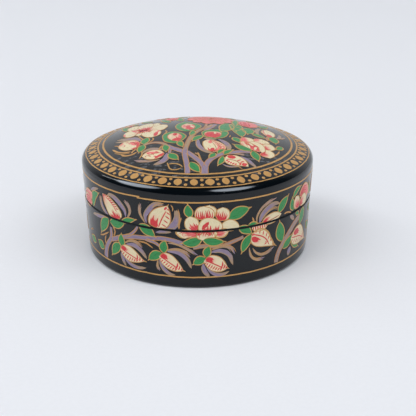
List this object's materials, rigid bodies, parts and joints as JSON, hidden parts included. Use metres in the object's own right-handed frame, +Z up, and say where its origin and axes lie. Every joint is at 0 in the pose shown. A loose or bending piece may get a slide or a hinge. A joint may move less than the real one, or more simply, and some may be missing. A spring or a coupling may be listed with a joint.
{
  "type": "papier mache box",
  "caption": "Round lidded box of layered paper: the domed lid lifts off an inner collar. Black lacquer painted with flowers, buds and gold line borders.",
  "frame": {"origin": "middle of the underside, on the surface that the box stands on", "axes": "+Z up along the box's turning axis and the way the lid lifts off; -Y faces the picture's viewer, +X to its right"},
  "size_m": [0.0758, 0.0758, 0.0397],
  "materials": {
    "black_lacquer": "gloss",
    "inside_lacquer": "satin",
    "gold_paint": "satin",
    "leaf_green": "gloss",
    "petal_cream": "gloss",
    "petal_red": "gloss",
    "stem_mauve": "gloss"
  },
  "bodies": {
    "base": {"base_wall": "black_lacquer", "base_floor": "inside_lacquer", "inner_collar": "inside_lacquer"},
    "lid": {"lid_wall": "black_lacquer", "lid_dome": "black_lacquer"}
  },
  "joints": [
    {"name": "lid_lift", "type": "slide", "parent": "base", "child": "lid", "axis": [0, 0, 1], "range_m": [0, 0.06]}
  ]
}
